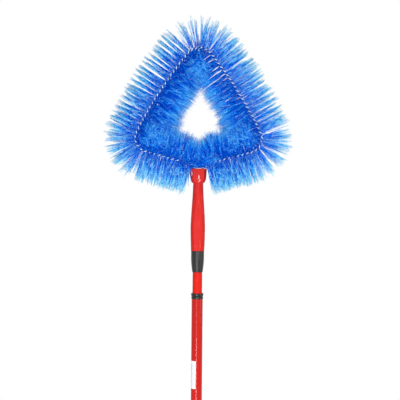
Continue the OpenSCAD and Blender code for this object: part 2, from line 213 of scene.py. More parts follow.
def label_paper():
    """White paper, with a pale panel and dull ruled lines that stop short of its ends."""
    paper = finish("label_paper", 0.62, 0.3)
    x, y, z = places(paper)
    turn = sums(paper, "ARCTAN2", y, sums(paper, "MULTIPLY", x, -1.0))
    line_turn = 0.21
    line_place = sums(paper, "DIVIDE", sums(paper, "ADD", turn, 2.0), line_turn)
    from_line = sums(paper, "SUBTRACT", sums(paper, "FRACT", line_place), 0.5)
    line_share = mapped(paper, sums(paper, "ABSOLUTE", from_line), 0.10, 0.04)
    from_middle = sums(paper, "ABSOLUTE", sums(paper, "SUBTRACT", z, (label_low.z + label_high.z) / 2))
    margin = 3 * MM
    panel_half = (label_high.z - label_low.z) / 2 - margin
    panel_last_turn = 1.12
    in_panel = sums(paper, "LESS_THAN", from_middle, panel_half)
    in_panel = sums(paper, "MULTIPLY", in_panel, sums(paper, "LESS_THAN", turn, panel_last_turn))
    in_lines = sums(paper, "LESS_THAN", from_middle, panel_half - margin)
    in_lines = sums(paper, "MULTIPLY", sums(paper, "MULTIPLY", line_share, in_lines), in_panel)
    fibres = mapped(paper, grain(paper, 1.5 * MM), 0.3, 0.7)
    sheet_tone = mixed(paper, fibres, (0.92, 0.94, 0.97), (0.96, 0.97, 0.99))
    panel_tone = mixed(paper, sums(paper, "MULTIPLY", in_panel, 0.55), sheet_tone, (0.66, 0.72, 0.84))
    line_tone = (0.33, 0.35, 0.42)
    shade(paper, "Base Color", mixed(paper, sums(paper, "MULTIPLY", in_lines, 0.6), panel_tone, line_tone))
    raise_up(paper, grain(paper, 0.8 * MM), 0.02 * MM)
    return paper


wear("pole_label", label_paper())


# Guide collar: black plastic moulding pressed into the lower tube's mouth. Its bore
# steadies the upper tube, and its two ridges give the fingers a hold.
def alone():
    """Leaves edit mode and deselects everything."""
    if bpy.context.object and bpy.context.object.mode != "OBJECT":
        bpy.ops.object.mode_set(mode="OBJECT")
    bpy.ops.object.select_all(action="DESELECT")


round_sides = 96


def turned(name, outline, closed_ring):
    """Turns an outline of (radius, height) points round the pole's axis, ring by ring."""
    alone()
    radius, height = outline[0]
    bpy.ops.mesh.primitive_circle_add(vertices=round_sides, radius=radius, location=(0, 0, height))
    piece = bpy.context.object
    piece.name = name
    bpy.ops.object.transform_apply()
    bpy.ops.object.mode_set(mode="EDIT")
    bpy.ops.mesh.select_all(action="SELECT")
    if not closed_ring:
        bpy.ops.mesh.edge_face_add()
    for next_radius, next_height in outline[1:]:
        move = {"value": (0, 0, next_height - height)}
        if closed_ring or (radius, height) != outline[0]:
            bpy.ops.mesh.extrude_edges_move(TRANSFORM_OT_translate=move)
        else:
            bpy.ops.mesh.extrude_region_move(TRANSFORM_OT_translate=move)
        grow = next_radius / radius
        bpy.ops.transform.resize(value=(grow, grow, 1), center_override=(0, 0, next_height))
        radius, height = next_radius, next_height
    if closed_ring:
        bpy.ops.mesh.select_all(action="DESELECT")
        bpy.ops.mesh.select_non_manifold()
        bpy.ops.mesh.bridge_edge_loops()
    else:
        bpy.ops.mesh.edge_face_add()
    bpy.ops.mesh.select_all(action="SELECT")
    bpy.ops.mesh.normals_make_consistent(inside=False)
    bpy.ops.object.mode_set(mode="OBJECT")
    return piece


sharp_angle = math.radians(35)


def round_edges(piece, width, segments=3):
    """Rounds the sharp edges, and smooths the faces."""
    alone()
    piece.select_set(True)
    bpy.context.view_layer.objects.active = piece
    bevel = piece.modifiers.new("Rounding", "BEVEL")
    bevel.width = width
    bevel.segments = segments
    bevel.angle_limit = sharp_angle
    bpy.ops.object.modifier_apply(modifier=bevel.name)
    bpy.ops.object.shade_smooth_by_angle(angle=sharp_angle)


def black_plastic(name, low, high, roughness):
    """Satin black moulding with a fine grained skin and faint flow marks."""
    plastic = finish(name, roughness, 0.4)
    flow = mapped(plastic, grain(plastic, 6 * MM, (1.0, 1.0, 0.35)), 0.3, 0.7)
    shade(plastic, "Base Color", mixed(plastic, flow, low, high))
    shade(plastic, "Roughness", mapped(plastic, flow, 0.0, 1.0, roughness, roughness + 0.08))
    raise_up(plastic, grain(plastic, 0.5 * MM, detail=2.0), 0.02 * MM)
    return plastic


def fit(piece, body, slot, material, *nodes):
    """Gives a new piece its finish and its body, and hides the CAD nodes that it stands for."""
    piece.data.materials.clear()
    piece.data.materials.append(material)
    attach(piece, body)
    if nodes:
        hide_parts(*nodes)


moulded_black = black_plastic("moulded_black", (0.003, 0.003, 0.004), (0.007, 0.007, 0.008), 0.23)
collar_low, collar_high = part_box("guide_collar")
tube_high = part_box("lower_tube")[1]
tube_wall = 0.6 * MM
upper_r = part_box("upper_tube")[1].x
collar_bore = upper_r + 0.15 * MM
skirt_r = tube_high.x - tube_wall - 0.05 * MM
ridge_r = collar_high.x
low_ridge_r = tube_high.x + (ridge_r - tube_high.x) * 2 / 3
groove_r = ridge_r - 1.3 * MM
mouth_z = tube_high.z
shoulder_z = mouth_z + 0.01 * MM
collar = turned(
    "moulded_collar",
    [
        (collar_bore, collar_low.z),
        (skirt_r, collar_low.z),
        (skirt_r, shoulder_z),
        (low_ridge_r - 0.3 * MM, shoulder_z),
        (low_ridge_r, mouth_z + 0.6 * MM),
        (low_ridge_r, mouth_z + 3.4 * MM),
        (groove_r, mouth_z + 4.7 * MM),
        (groove_r, mouth_z + 5.0 * MM),
        (ridge_r, mouth_z + 6.5 * MM),
        (ridge_r, collar_high.z - 0.5 * MM),
        (ridge_r - 0.5 * MM, collar_high.z),
        (collar_bore + 0.4 * MM, collar_high.z),
        (collar_bore, collar_high.z - 0.4 * MM),
    ],
    closed_ring=True,
)
round_edges(collar, 0.25 * MM)
fit(collar, "lower_pole", "black_plastic", moulded_black, "guide_collar")


# Hanging cap: black plastic plug pushed into the lower tube's foot, with a flat tongue
# and an 8 mm hole to hang the pole by. Its moulded edges are rounded.
merge_reach = 0.002 * MM


def softened(name, node_name, width):
    """A copy of a CAD node with whole faces and rounded edges."""
    alone()
    piece = frame["nodes"][node_name].copy()
    piece.data = piece.data.copy()
    piece.name = name
    piece.parent = None
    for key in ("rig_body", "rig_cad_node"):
        del piece[key]
    bpy.context.scene.collection.objects.link(piece)
    piece.select_set(True)
    bpy.context.view_layer.objects.active = piece
    bpy.ops.mesh.customdata_custom_splitnormals_clear()
    bpy.ops.object.mode_set(mode="EDIT")
    bpy.ops.mesh.select_all(action="SELECT")
    bpy.ops.mesh.remove_doubles(threshold=merge_reach)
    bpy.ops.mesh.dissolve_limited(angle_limit=math.radians(1))
    bpy.ops.object.mode_set(mode="OBJECT")
    round_edges(piece, width)
    return piece


cap = softened("moulded_hanging_cap", "hanging_cap", 0.5 * MM)
fit(cap, "lower_pole", "black_plastic", moulded_black, "hanging_cap")


# Upper tube: 19 mm steel tube in the same baked red paint, in a brighter red than the lower
# tube's copy, which is darkened as painted shade for the light that falls off down the pole.
upper_red = (0.62, 0.013, 0.006)
upper_bright_red = (0.71, 0.018, 0.008)
wear("upper_tube", tube_paint("upper_tube_paint", upper_red, upper_bright_red, 0.36, 0.1))


# Twist lock: dark plastic plug with a spindle in the upper tube's foot, a slotted sleeve
# that a cone spreads against the lower tube, and a plated screw with its washer.
lock_plastic = black_plastic("lock_plastic", (0.06, 0.06, 0.065), (0.09, 0.09, 0.095), 0.4)
for lock_part in ("lock_plug", "lock_sleeve", "lock_cone"):
    wear(lock_part, lock_plastic)
plated = finish("plated_steel", 0.28, 0.5, metallic=1.0)
turning = mapped(plated, grain(plated, 0.6 * MM, (1.0, 1.0, 0.1)), 0.3, 0.7)
shade(plated, "Base Color", mixed(plated, turning, (0.55, 0.55, 0.56), (0.68, 0.68, 0.69)))
for lock_part in ("lock_washer", "lock_screw"):
    wear(lock_part, plated)


# Threaded tip: black plastic sleeve pressed over the upper tube's top end, swelling to
# the handle's foot, with a hollow spigot and the coarse thread that the head screws on.
tip_low, tip_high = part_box("threaded_tip")
handle_low, handle_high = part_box("socket_handle")
tip_shoulder_z = handle_low.z - 0.3 * MM
tip_lip_r = upper_r + 0.9 * MM
tip_r = tip_high.x
tip_swell = 30 * MM
tip_grip = 36 * MM
plug_len = 22 * MM
spigot_bevel = 1.2 * MM
spigot_root_r = 8.5 * MM
spigot_bore_r = 5.85 * MM
pocket_r = upper_r + 0.05 * MM
plug_r = upper_r - tube_wall - 0.05 * MM
swell_steps = 14
swelling = [
    (
        tip_lip_r + (tip_r - tip_lip_r) * math.sin(math.pi / 2 * step / swell_steps),
        tip_low.z + tip_swell * step / swell_steps,
    )
    for step in range(swell_steps + 1)
]
tip = turned(
    "moulded_tip",
    [(pocket_r, tip_low.z), *swelling, (tip_r, tip_shoulder_z)]
    + [
        (spigot_root_r, tip_shoulder_z),
        (spigot_root_r, tip_high.z - spigot_bevel),
        (spigot_root_r - spigot_bevel, tip_high.z),
        (spigot_bore_r, tip_high.z),
        (spigot_bore_r, tip_low.z + tip_grip - plug_len),
        (plug_r, tip_low.z + tip_grip - plug_len),
        (plug_r, tip_low.z + tip_grip),
        (pocket_r, tip_low.z + tip_grip),
    ],
    closed_ring=True,
)
round_edges(tip, 0.7 * MM)
tip_plastic = black_plastic("tip_plastic", (0.005, 0.005, 0.006), (0.011, 0.011, 0.013), 0.32)
fit(tip, "upper_pole", "black_plastic", tip_plastic, "threaded_tip")


def screw_thread(name, root_r, crest_r, foot_z, pitch, turns):
    """A thread: its four-point section is screwed up the pole's axis."""
    steps_per_turn = 48
    alone()
    bpy.ops.mesh.primitive_plane_add(size=1)
    thread = bpy.context.object
    thread.name = name
    section = [(root_r, 0.0), (crest_r, 0.32), (crest_r, 0.52), (root_r, 0.84)]
    for vertex, (radius, share) in zip(thread.data.vertices, (section[i] for i in (0, 1, 3, 2))):
        vertex.co = (radius, 0, foot_z + share * pitch)
    screw = thread.modifiers.new("Thread", "SCREW")
    screw.screw_offset = pitch
    screw.iterations = turns
    screw.steps = steps_per_turn
    screw.render_steps = steps_per_turn
    bpy.ops.object.modifier_apply(modifier=screw.name)
    bpy.ops.object.mode_set(mode="EDIT")
    bpy.ops.mesh.select_all(action="SELECT")
    bpy.ops.mesh.remove_doubles(threshold=merge_reach)
    bpy.ops.mesh.normals_make_consistent(inside=False)
    bpy.ops.object.mode_set(mode="OBJECT")
    bpy.ops.object.shade_smooth_by_angle(angle=sharp_angle)
    return thread


thread_crest_r = 9.8 * MM
thread_sunk_r = spigot_root_r - 0.4 * MM
thread_foot_z = tip_shoulder_z + 3 * MM
thread_pitch = 4.2 * MM
thread_turns = 7
tip_thread = screw_thread(
    "tip_thread", thread_sunk_r, thread_crest_r, thread_foot_z, thread_pitch, thread_turns
)
fit(tip_thread, "upper_pole", "black_plastic", tip_plastic)


# Socket handle: red plastic moulding with a swelling grip, a slim neck and a cup with a
# flat front and back. Two deep holes in the cup hold the ends of the wire loop, and two
# polished marks on its front show where the mould was filled.
handle_len = handle_high.z - handle_low.z
foot_z = handle_low.z
foot_r = tip_r + 0.3 * MM
swell_r = 14.25 * MM
swell_at = 47 * MM
neck_r = 9.9 * MM
neck_z = foot_z + handle_len - 30.8 * MM
cup_curve_z = neck_z + 2 * MM
cup_curve_h = 18 * MM
cup_r = 16.1 * MM
cup_top_r = handle_high.x
cup_half_depth = 11.5 * MM
socket_r = 10.0 * MM
socket_depth = 38 * MM
wire_hole_r = 2.7 * MM
wire_hole_depth = 22 * MM
loop_mouth = 17.2 * MM
core_top_r = 6.4 * MM
socket_end_r = 8.5 * MM
grip_steps = 16
handle_outline = [
    (core_top_r, neck_z - 1 * MM),
    (socket_end_r, foot_z + socket_depth),
    (socket_r, foot_z + socket_depth),
    (socket_r, foot_z + 1 * MM),
    (socket_r + 1 * MM, foot_z),
]
for step in range(grip_steps + 1):
    rise = step / grip_steps
    radius = foot_r + (swell_r - foot_r) * math.sin(math.pi / 2 * rise)
    handle_outline.append((radius, foot_z + swell_at * rise))
for step in range(1, grip_steps + 1):
    rise = step / grip_steps
    slim = rise - math.sin(2 * math.pi * rise) / (6 * math.pi)
    radius = swell_r + (neck_r - swell_r) * slim
    handle_outline.append((radius, foot_z + swell_at + (neck_z - foot_z - swell_at) * rise))
for step in range(grip_steps + 1):
    lift = math.pi / 2 * step / grip_steps
    radius = neck_r + (cup_r - neck_r) * math.sin(lift)
    handle_outline.append((radius, cup_curve_z + cup_curve_h * (1 - math.cos(lift))))
handle_outline += [(cup_top_r, handle_high.z - 1 * MM), (cup_top_r - 1 * MM, handle_high.z)]
handle = turned("moulded_handle", handle_outline, closed_ring=False)


def trim_flat(piece, above, side, half_depth):
    """Cuts the part of a piece over a height back to a flat face."""
    for face in piece.data.polygons:
        face.select = face.center.z > above
    bpy.ops.object.mode_set(mode="EDIT")
    bpy.ops.mesh.select_mode(type="FACE")
    bpy.ops.mesh.bisect(
        plane_co=(0, side * half_depth, 0), plane_no=(0, side, 0), use_fill=True, clear_outer=True
    )
    bpy.ops.object.mode_set(mode="OBJECT")


def drill(piece, radius, depth, middle):
    """Drills a blind hole down into a piece."""
    alone()
    bpy.ops.mesh.primitive_cylinder_add(vertices=32, radius=radius, depth=2 * depth, location=middle)
    bit = bpy.context.object
    alone()
    piece.select_set(True)
    bpy.context.view_layer.objects.active = piece
    cut = piece.modifiers.new("Hole", "BOOLEAN")
    cut.object = bit
    bpy.ops.object.modifier_apply(modifier=cut.name)
    bpy.data.objects.remove(bit)


for side in (-1, 1):
    trim_flat(handle, neck_z - 0.1 * MM, side, cup_half_depth)
for side in (-1, 1):
    drill(handle, wire_hole_r, wire_hole_depth, (side * loop_mouth / 2, 0, handle_high.z))
round_edges(handle, 0.7 * MM, segments=4)


def handle_plastic():
    """Red moulding: clouded colour, flow marks, a wavy skin and the mould's parting line."""
    plastic = finish("red_plastic", 0.5, 0.14)
    cloudy = mapped(plastic, grain(plastic, 12 * MM, (1.0, 1.0, 0.5)), 0.3, 0.7)
    flow = mapped(plastic, grain(plastic, 4 * MM, (1.0, 1.0, 0.12)), 0.35, 0.65)
    tone = mixed(plastic, cloudy, (0.55, 0.012, 0.009), (0.62, 0.016, 0.012))
    tone = mixed(plastic, sums(plastic, "MULTIPLY", flow, 0.4), tone, (0.67, 0.029, 0.024))
    scuffs = mapped(plastic, grain(plastic, 1.8 * MM, (1.0, 1.0, 0.12), 6.0), 0.62, 0.72, 0.0, 0.4)
    scuff_tone = (0.80, 0.16, 0.12)
    shade(plastic, "Base Color", mixed(plastic, scuffs, tone, scuff_tone))
    shade(plastic, "Roughness", mapped(plastic, flow, 0.0, 1.0, 0.45, 0.55))
    across = sums(plastic, "ABSOLUTE", places(plastic)[0])
    parting_line = mapped(plastic, across, 0.5 * MM, 0.1 * MM)
    wavy = grain(plastic, 3 * MM, (1.0, 1.0, 0.4), 2.0)
    raise_up(plastic, sums(plastic, "ADD", wavy, parting_line), 0.04 * MM)
    return plastic


red_moulding = handle_plastic()
fit(handle, "brush_head", "red_plastic", red_moulding, "socket_handle")


def glossy_mark(name, along_x, up_z, wide, tall, lean):
    """A shallow polished swell on the cup's front, where the mould was filled."""
    alone()
    bpy.ops.mesh.primitive_uv_sphere_add(segments=32, ring_count=16, radius=1)
    mark = bpy.context.object
    mark.name = name
    mark.scale = (wide / 2, 0.4 * MM, tall / 2)
    mark.rotation_euler = (math.radians(-4), math.radians(lean), math.radians(5))
    mark.location = (along_x, -cup_half_depth, foot_z + handle_len - up_z)
    bpy.ops.object.transform_apply()
    bpy.ops.object.shade_smooth()
    fit(mark, "brush_head", "red_plastic", polished_red)


polished_red = finish("polished_red", 0.12, 1.0, coat=1.0)
polished_tone = mixed(polished_red, grain(polished_red, 2 * MM), (0.76, 0.03, 0.025), (0.84, 0.05, 0.04))
shade(polished_red, "Base Color", polished_tone)
glossy_mark("mould_gate_stem", 1.2 * MM, 16 * MM, 3.6 * MM, 11 * MM, 0)
glossy_mark("mould_gate_foot", 3 * MM, 23 * MM, 3.2 * MM, 9 * MM, 42)


# Wire loop: two galvanised wires, twisted together round the bristles and bent to a
# rounded triangle. Both ends go down into the handle's holes.
wire_r = 1.15 * MM
twist_r = 1.5 * MM
twist_pitch = 18.6 * MM
loop_rise = 1 * MM
entry_r = 7.5 * MM
base_slope = math.radians(15.6)
corner_r = 27.2 * MM
side_len = 183.4 * MM
side_bow_r = 786 * MM
side_slope = math.radians(57.2)
top_r = 28.4 * MM
side_turn = side_len / side_bow_r
top_half_turn = side_slope - side_turn / 2
corner_turn = math.pi - base_slope - side_slope - side_turn / 2
entry_turn = math.pi / 2 - base_slope
half_width = (
    top_r * math.sin(top_half_turn)
    + side_bow_r * (math.sin(side_slope + side_turn / 2) - math.sin(top_half_turn))
    + corner_r * (math.sin(base_slope) - math.sin(side_slope + side_turn / 2))
)
base_run = half_width - entry_r * (1 - math.sin(base_slope)) - loop_mouth / 2
base_len = base_run / math.cos(base_slope)
wire_gap = 0.3 * MM
end_len = wire_hole_depth - wire_gap + loop_rise
left_half = [
    (end_len, 0.0),
    (entry_r * entry_turn, entry_turn),
    (base_len, 0.0),
    (corner_r * corner_turn, -corner_turn),
    (side_len, -side_turn),
]
stretches = left_half + [(2 * top_r * top_half_turn, -2 * top_half_turn)] + left_half[::-1]
ways = [sum(length for length, turned_by in stretches[:place]) for place in range(len(stretches) + 1)]
wire_len = ways[-1]


def go(start, turned_by, length, way):
    """Place and heading after going some way along one stretch: x, z and heading."""
    x, z, heading = start
    if turned_by == 0:
        return x + way * np.cos(heading), z + way * np.sin(heading), heading + 0 * way
    radius = length / turned_by
    ahead = heading + way / radius
    return (
        x + radius * (np.sin(ahead) - np.sin(heading)),
        z - radius * (np.cos(ahead) - np.cos(heading)),
        ahead,
    )


starts = [(-loop_mouth / 2, handle_high.z - wire_hole_depth + wire_gap, math.pi / 2)]
for length, turned_by in stretches:
    starts.append(go(starts[-1], turned_by, length, length))


def along(way):
    """Middles and headings of the wire pair, at ways along it from its left end."""
    way = np.atleast_1d(np.asarray(way, float))
    middles = np.zeros((len(way), 3))
    headings = np.zeros(len(way))
    stretch = np.clip(np.searchsorted(ways, way, side="right") - 1, 0, len(stretches) - 1)
    for place, (length, turned_by) in enumerate(stretches):
        here = stretch == place
        x, z, heading = go(starts[place], turned_by, length, way[here] - ways[place])
        middles[here, 0] = x
        middles[here, 2] = z
        headings[here] = heading
    return middles, headings


def forwards(headings):
    """Directions along the wire."""
    return np.stack([np.cos(headings), 0 * headings, np.sin(headings)], axis=1)


def spokes(headings, turns):
    """Directions square to the wire: outwards at 0, to the back at a quarter turn."""
    outwards = np.stack([-np.sin(headings), 0 * headings, np.cos(headings)], axis=1)
    backwards = np.array([[0.0, 1.0, 0.0]])
    return np.cos(turns)[:, None] * outwards + np.sin(turns)[:, None] * backwards


def twists(way):
    """Angle of the twist at ways along the wire."""
    return 2 * math.pi * way / twist_pitch


def from_pair_axis(corners):
    """How far corners lie from the middle line of the wire pair."""
    axis_points = 2000
    axis = along(np.linspace(0, wire_len, axis_points))[0]
    squares = (corners ** 2).sum(1)[:, None] + (axis ** 2).sum(1)[None, :] - 2 * corners @ axis.T
    return np.sqrt(np.maximum(squares.min(axis=1), 0))


def write_fact(mesh, name, numbers):
    """Keeps a number at each corner of a mesh, for its material."""
    attribute = mesh.attributes.new(name, "FLOAT", "POINT")
    attribute.data.foreach_set("value", numbers.astype(np.float32))


def read_fact(material, name):
    """The number that a mesh keeps at its corners."""
    return add(material, "ShaderNodeAttribute", attribute_name=name).outputs["Fac"]


def twisted_wire(name, side):
    """One of the two wires: a round bar bent along its helix."""
    alone()
    steps_per_turn = 16
    way = np.linspace(0, wire_len, round(wire_len / twist_pitch * steps_per_turn) + 1)
    middles, headings = along(way)
    points = middles + twist_r * spokes(headings, twists(way) + side * math.pi)
    path = bpy.data.curves.new(name, "CURVE")
    path.dimensions = "3D"
    path.bevel_depth = wire_r
    path.bevel_resolution = 4
    path.use_fill_caps = True
    spline = path.splines.new("POLY")
    spline.points.add(len(points) - 1)
    for point, place in zip(spline.points, points):
        point.co = (*place, 1.0)
    wire = bpy.data.objects.new(name, path)
    bpy.context.scene.collection.objects.link(wire)
    wire.select_set(True)
    bpy.context.view_layer.objects.active = wire
    bpy.ops.object.convert(target="MESH")
    wire = bpy.context.object
    bpy.ops.object.shade_smooth_by_angle(angle=math.radians(40))
    corners = np.array([vertex.co for vertex in wire.data.vertices])
    write_fact(wire.data, "from_axis", from_pair_axis(corners))
    return wire


def galvanised():
    """Drawn zinc-coated wire: bright and tinted blue as a painted reflection of the bristles, with duller
    patches, and darkened by painted shade down in the groove.
    """
    zinc = finish("galvanised_wire", 0.4, 0.5, metallic=1.0)
    patches = mapped(zinc, grain(zinc, 2.5 * MM), 0.35, 0.65)
    # Painted shade: the wire is darkened where it lies close to the pair's middle line, down in the groove
    # between the two wires.
    groove_edge = 1.6 * MM
    clear_of_groove = 2.35 * MM
    outside = mapped(zinc, read_fact(zinc, "from_axis"), groove_edge, clear_of_groove)
    painted_groove_shade_tone = (0.02, 0.05, 0.14)
    # The zinc's colour is tinted blue and brightened: a painted reflection of the blue bristles round it.
    bright = mixed(zinc, patches, (0.56, 0.76, 0.86), (0.80, 0.95, 1.0))
    shade(zinc, "Base Color", mixed(zinc, outside, painted_groove_shade_tone, bright))
    shade(zinc, "Roughness", mapped(zinc, patches, 0.0, 1.0, 0.46, 0.34))
    raise_up(zinc, grain(zinc, 0.6 * MM), 0.03 * MM)
    return zinc


zinc = galvanised()
for side, letter in enumerate("ab"):
    wire = twisted_wire("twisted_wire_" + letter, side)
    fit(wire, "brush_head", "galvanised_wire", zinc, "wire_strand_" + letter)


# Bristles: clear blue plastic filaments gripped at their middles between the wires. The
# twist spreads them into a spiral, so they stand in rays on both sides of the wire.
def tone_ramp(material, value, tones):
    """A colour that runs through tones, each given with its place from 0 to 1."""
    ramp = add(material, "ShaderNodeValToRGB")
    feed(material, ramp.inputs["Fac"], value)
    stops = ramp.color_ramp.elements
    stops[0].color = (*tones[0][1], 1.0)
    stops[1].color = (*tones[-1][1], 1.0)
    for place, colour in tones[1:-1]:
        stops.new(place).color = (*colour, 1.0)
    return ramp.outputs["Color"]


def bristle_plastic():
    """Filament colour: painted shade makes it deep blue inside the loop and at the roots, and painted light
    makes it paler outside the loop and towards the tips, with painted sparkles, painted shadow specks and a
    painted glow.
    """
    plastic = finish("blue_bristle", 0.4, 0.03)
    along_it = read_fact(plastic, "from_root")
    own_tone = read_fact(plastic, "own_tone")
    in_light = read_fact(plastic, "in_light")
    # Painted shade and light: each ramp runs from deep blue at the root to pale at the tip, and the colour
    # goes from the shaded ramp inside the loop to the lit ramp outside it.
    painted_shade_tones = [
        (0.0, (0.0, 0.15, 0.72)), (0.3, (0.0, 0.16, 0.82)), (0.55, (0.0, 0.20, 0.94)),
        (0.8, (0.01, 0.45, 1.0)), (1.0, (0.25, 0.78, 1.0)),
    ]
    painted_light_tones = [
        (0.0, (0.0, 0.24, 0.86)), (0.3, (0.0, 0.27, 0.95)), (0.5, (0.0, 0.33, 1.0)),
        (0.75, (0.01, 0.56, 1.0)), (1.0, (0.38, 0.90, 1.0)),
    ]
    tone = mixed(plastic, in_light, tone_ramp(plastic, along_it, painted_shade_tones), tone_ramp(plastic, along_it, painted_light_tones))
    pale_tone = mixed(plastic, in_light, (0.03, 0.56, 1.0), (0.38, 0.84, 1.0))
    dark_tone = (0.0, 0.12, 0.74)
    shadow_tone = (0.0, 0.085, 0.56)
    glint_tone = (0.32, 0.84, 1.0)
    glow_tone = (0.0, 0.14, 1.0)
    drawn_deep = (1.0, 0.2, 1.0)
    # Painted light: pale filaments, more of them outside the loop, and pale specks and glints that stand
    # for sparkles of light on the clear plastic.
    painted_light_share = sums(plastic, "MULTIPLY", in_light, 0.13)
    pale = mapped(plastic, sums(plastic, "ADD", own_tone, painted_light_share), 0.80, 0.90, 0.0, 0.9)
    specks = grain(plastic, 2.6 * MM, drawn_deep, 1.0)
    painted_highlight_flecks = mapped(plastic, specks, 0.58, 0.64, 0.0, 0.85)
    # Painted shade: deep blue shadow specks, and deeper filaments that are more common inside the loop.
    shadows = mapped(plastic, specks, 0.43, 0.36, 0.0, 0.75)
    dark = mapped(plastic, own_tone, 0.42, 0.18, 0.0, 0.8)
    dark = sums(plastic, "MULTIPLY", dark, sums(plastic, "SUBTRACT", 1.15, in_light))
    glints = mapped(plastic, grain(plastic, 2.3 * MM, drawn_deep, 0.0), 0.70, 0.76, 0.0, 0.9)
    for share, spot_tone in (
        (pale, pale_tone), (painted_highlight_flecks, pale_tone), (dark, dark_tone),
        (shadows, shadow_tone), (glints, glint_tone),
    ):
        tone = mixed(plastic, share, tone, spot_tone)
    shade(plastic, "Base Color", tone)
    # Painted glow: the filaments give off a faint blue light of their own, standing for light carried
    # through the clear plastic.
    shade(plastic, "Emission Color", glow_tone)
    shade(plastic, "Emission Strength", 0.11)
    return plastic


def straight_filament(sides, rings):
    """One unit filament on Z: a prism cut into rings, which every real one is bent from."""
    alone()
    bpy.ops.mesh.primitive_cone_add(vertices=sides, radius1=1, radius2=1, depth=1, location=(0, 0, 0.5))
    filament = bpy.context.object
    bpy.ops.object.transform_apply()
    for edge in filament.data.edges:
        ends = [filament.data.vertices[i].co.z for i in edge.vertices]
        edge.select = abs(ends[0] - ends[1]) > 0.5
    for face in filament.data.polygons:
        face.select = False
    for vertex in filament.data.vertices:
        vertex.select = False
    bpy.context.tool_settings.mesh_select_mode = (False, True, False)
    bpy.ops.object.mode_set(mode="EDIT")
    bpy.ops.mesh.subdivide(number_cuts=rings - 1)
    bpy.ops.object.mode_set(mode="OBJECT")
    corners = np.array([vertex.co for vertex in filament.data.vertices])
    faces = [list(face.vertices) for face in filament.data.polygons]
    bpy.data.objects.remove(filament)
    return corners, faces


filament_sides = 3
filament_rings = 4
unit_corners, unit_faces = straight_filament(filament_sides, filament_rings)
bristle_reach = 65 * MM
inner_len = 82 * MM
filament_r = 0.18 * MM


def unit(vectors):
    """Vectors scaled to length 1."""
    return vectors / np.linalg.norm(vectors, axis=1)[:, None]


wire_clearance = twist_r + wire_r + 0.4 * MM
crimp_depth = 0.2 * MM
tip_taper = 0.4


def bend_filaments(roots, gaps, directions, lengths, sways, thickness, chance):
    """Copies of the unit filament, which leave through the gap between the wires and bend."""
    count = len(roots)
    first_side = unit(np.cross(directions, chance.normal(size=(count, 3))))
    second_side = np.cross(directions, first_side)
    ring = np.rint(unit_corners[:, 2] * filament_rings).astype(int)
    crimps = chance.normal(scale=crimp_depth, size=(count, filament_rings + 1, 2))
    crimps[:, :2] = 0
    crimp = crimps[:, ring]
    beyond = (np.maximum(ring - 1, 0) / (filament_rings - 1))[None, :, None]
    free = (lengths - wire_clearance)[:, None, None] * beyond
    line = roots[:, None] + wire_clearance * np.minimum(ring, 1)[None, :, None] * gaps[:, None]
    line = line + free * (directions[:, None] + beyond * sways[:, None])
    line += crimp[:, :, :1] * first_side[:, None] + crimp[:, :, 1:] * second_side[:, None]
    across = unit_corners[:, 0][None, :, None] * first_side[:, None]
    across = across + unit_corners[:, 1][None, :, None] * second_side[:, None]
    taper = 1.0 - tip_taper * beyond ** 2
    return line + thickness[:, None, None] * taper * across


def filament_piece(name, corners, **facts):
    """One mesh of many filaments, which keeps facts of each and how far corners are from the root."""
    count, corners_each = corners.shape[:2]
    mesh = bpy.data.meshes.new(name)
    faces = []
    for first_corner in range(0, count * corners_each, corners_each):
        faces += [[first_corner + corner for corner in face] for face in unit_faces]
    mesh.from_pydata(corners.reshape(-1, 3).tolist(), [], faces)
    from_root = np.maximum(unit_corners[:, 2] * filament_rings - 1, 0) / (filament_rings - 1)
    write_fact(mesh, "from_root", np.tile(from_root, count))
    for fact, numbers in facts.items():
        write_fact(mesh, fact, np.repeat(numbers, corners_each))
    mesh.shade_smooth()
    piece = bpy.data.objects.new(name, mesh)
    bpy.context.scene.collection.objects.link(piece)
    return piece


def free_lengths(turns, inner_reaches):
    """How long the filaments are: those inside the loop stop at the other sides' bristles."""
    inwards = -np.cos(turns)
    least_share = 0.01
    inside_share = 0.15
    reach = np.minimum(inner_len, inner_reaches / np.maximum(inwards, least_share))
    reach = np.where(inwards > inside_share, reach, bristle_reach)
    return np.minimum(reach, bristle_reach / np.maximum(abs(np.sin(turns)), least_share))


def clear_of_handle(roots, tips):
    """Which filaments miss the handle. Some hang before and behind its left edge."""
    clear = np.ones(len(roots), bool)
    room = 1 * MM
    left_edge = -8 * MM
    for share in np.linspace(0.05, 1.0, 20):
        x, y, z = (roots + share * (tips - roots)).T
        beside = (abs(y) < cup_half_depth + room) | (x > left_edge)
        in_cup = (abs(x) < handle_high.x + room) & beside
        clear &= ~(in_cup & (z < handle_high.z + 0.1 * MM))
    return clear


bare_wire = 6 * MM
bristle_start = end_len + entry_r * entry_turn + bare_wire
early = 15.4 * MM
lock_size = 8
near_handle = 28 * MM
pull_to_plane = 0.3
handle_cut = 0.34
inner_cut = 0.95
flat_share = 0.28
most_bundles = 200
bundle_chance = np.random.default_rng(7)
bundle_leans = bundle_chance.normal(scale=math.radians(1.3), size=most_bundles)
bundle_widths = np.exp(bundle_chance.normal(scale=0.35, size=most_bundles))
# Spreads and leans are in degrees, the inner reach is in mm, and the shortest is a share.
Look = namedtuple(
    "Look",
    "filaments_per_mm outer_share outer_spread inner_spread outer_lean inner_lean shortest inner_reach",
)


